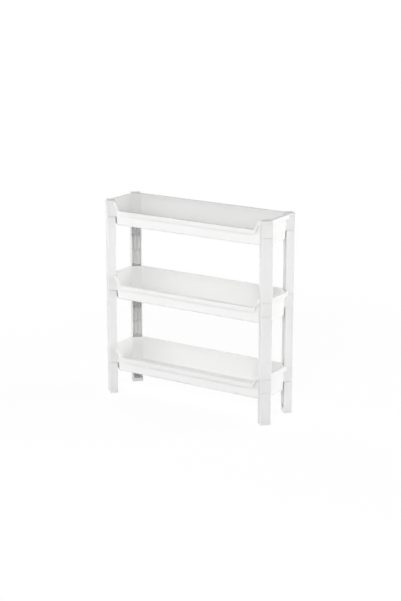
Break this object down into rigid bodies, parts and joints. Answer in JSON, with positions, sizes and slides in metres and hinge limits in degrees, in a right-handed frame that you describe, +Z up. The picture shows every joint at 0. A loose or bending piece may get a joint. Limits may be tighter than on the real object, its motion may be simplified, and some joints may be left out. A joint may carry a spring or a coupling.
{
  "type": "tiered storage rack",
  "caption": "Slim free-standing tiered rack of white moulded plastic: deep scooped trays on ribbed channel posts that push into corner sockets.",
  "frame": {"origin": "on the floor, midway between the ends and between the front and back", "axes": "+X along the trays towards the right end, +Y from the front to the back, +Z up"},
  "size_m": [0.6, 0.176, 0.6245],
  "materials": {
    "tray_plastic": "fine satin moulding texture",
    "post_plastic": "fine satin moulding texture",
    "cap_plastic": "fine satin moulding texture",
    "foot_plastic": "fine satin moulding texture"
  },
  "bodies": {
    "root": {"tray_top": "tray_plastic", "tray_middle": "tray_plastic", "tray_bottom": "tray_plastic", "upper_post_front_left": "post_plastic", "upper_post_front_right": "post_plastic", "upper_post_back_left": "post_plastic", "upper_post_back_right": "post_plastic", "lower_post_front_left": "post_plastic", "lower_post_front_right": "post_plastic", "lower_post_back_left": "post_plastic", "lower_post_back_right": "post_plastic", "leg_front_left": "post_plastic", "leg_front_right": "post_plastic", "leg_back_left": "post_plastic", "leg_back_right": "post_plastic", "cap_front_left": "cap_plastic", "cap_front_right": "cap_plastic", "cap_back_left": "cap_plastic", "cap_back_right": "cap_plastic", "foot_front_left": "foot_plastic", "foot_front_right": "foot_plastic", "foot_back_left": "foot_plastic", "foot_back_right": "foot_plastic"}
  },
  "joints": []
}
